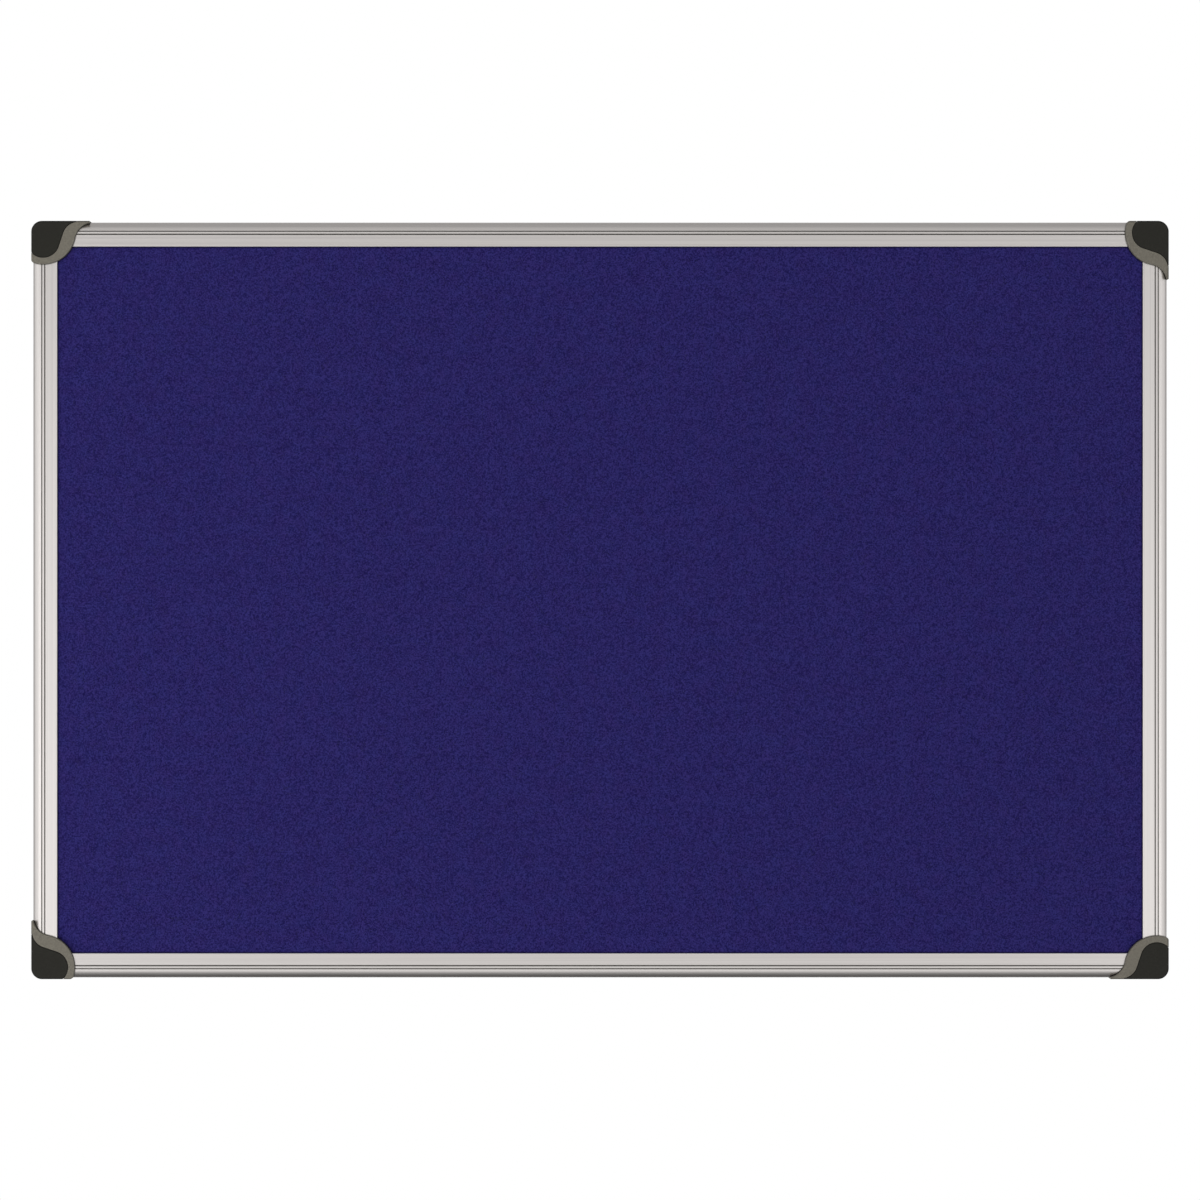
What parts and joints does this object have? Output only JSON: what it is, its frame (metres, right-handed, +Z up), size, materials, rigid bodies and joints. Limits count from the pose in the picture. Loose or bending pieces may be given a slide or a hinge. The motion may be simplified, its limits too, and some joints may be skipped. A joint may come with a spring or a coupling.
{
  "type": "bulletin board",
  "caption": "Wall notice board: blue felt over a cork layer, silver aluminium frame, grey and black plastic corners whose covers pull off to reach the wall screws.",
  "frame": {"origin": "centre of the board's back, in the plane that lies on the wall and midway between the wall holes", "axes": "+Z up, -Y out of the pinning face into the room, +Y into the wall, +X to the right of someone who faces the board"},
  "size_m": [0.9, 0.0174, 0.6],
  "materials": {
    "anodised_aluminium": "satin silver anodised, with fine die lines along the rail",
    "grey_abs": "moulded warm grey, fine satin texture",
    "black_abs": "moulded soft black, fine satin texture",
    "nylon": "moulded black, matt",
    "felt": "needle-punched felt, dark blue with a violet cast",
    "cork": "pressed cork granules",
    "softboard": "pressed wood fibre, unpainted",
    "backing_paper": "brown kraft liner paper, uncoated",
    "zinc_plated_steel": "bright zinc plate"
  },
  "bodies": {
    "board": {"top_rail": "anodised_aluminium", "bottom_rail": "anodised_aluminium", "left_rail": "anodised_aluminium", "right_rail": "anodised_aluminium", "felt_facing": "felt", "cork_sheet": "cork", "fibreboard_core": "softboard", "backing_sheet": "backing_paper", "corner_key_top_left": "nylon", "corner_key_top_right": "nylon", "corner_key_bottom_right": "nylon", "corner_key_bottom_left": "nylon", "corner_cap_top_left": "grey_abs", "corner_cap_top_right": "grey_abs", "corner_cap_bottom_right": "grey_abs", "corner_cap_bottom_left": "grey_abs", "rail_screws": "zinc_plated_steel", "cap_screws": "zinc_plated_steel"},
    "cover_top_left": {"corner_cover_top_left": "black_abs"},
    "cover_top_right": {"corner_cover_top_right": "black_abs"},
    "cover_bottom_right": {"corner_cover_bottom_right": "black_abs"},
    "cover_bottom_left": {"corner_cover_bottom_left": "black_abs"}
  },
  "joints": [
    {"name": "pull_cover_top_left", "type": "slide", "parent": "board", "child": "cover_top_left", "axis": [0, -1, 0], "range_m": [0, 0.022]},
    {"name": "pull_cover_top_right", "type": "slide", "parent": "board", "child": "cover_top_right", "axis": [0, -1, 0], "range_m": [0, 0.022]},
    {"name": "pull_cover_bottom_right", "type": "slide", "parent": "board", "child": "cover_bottom_right", "axis": [0, -1, 0], "range_m": [0, 0.022]},
    {"name": "pull_cover_bottom_left", "type": "slide", "parent": "board", "child": "cover_bottom_left", "axis": [0, -1, 0], "range_m": [0, 0.022]}
  ]
}
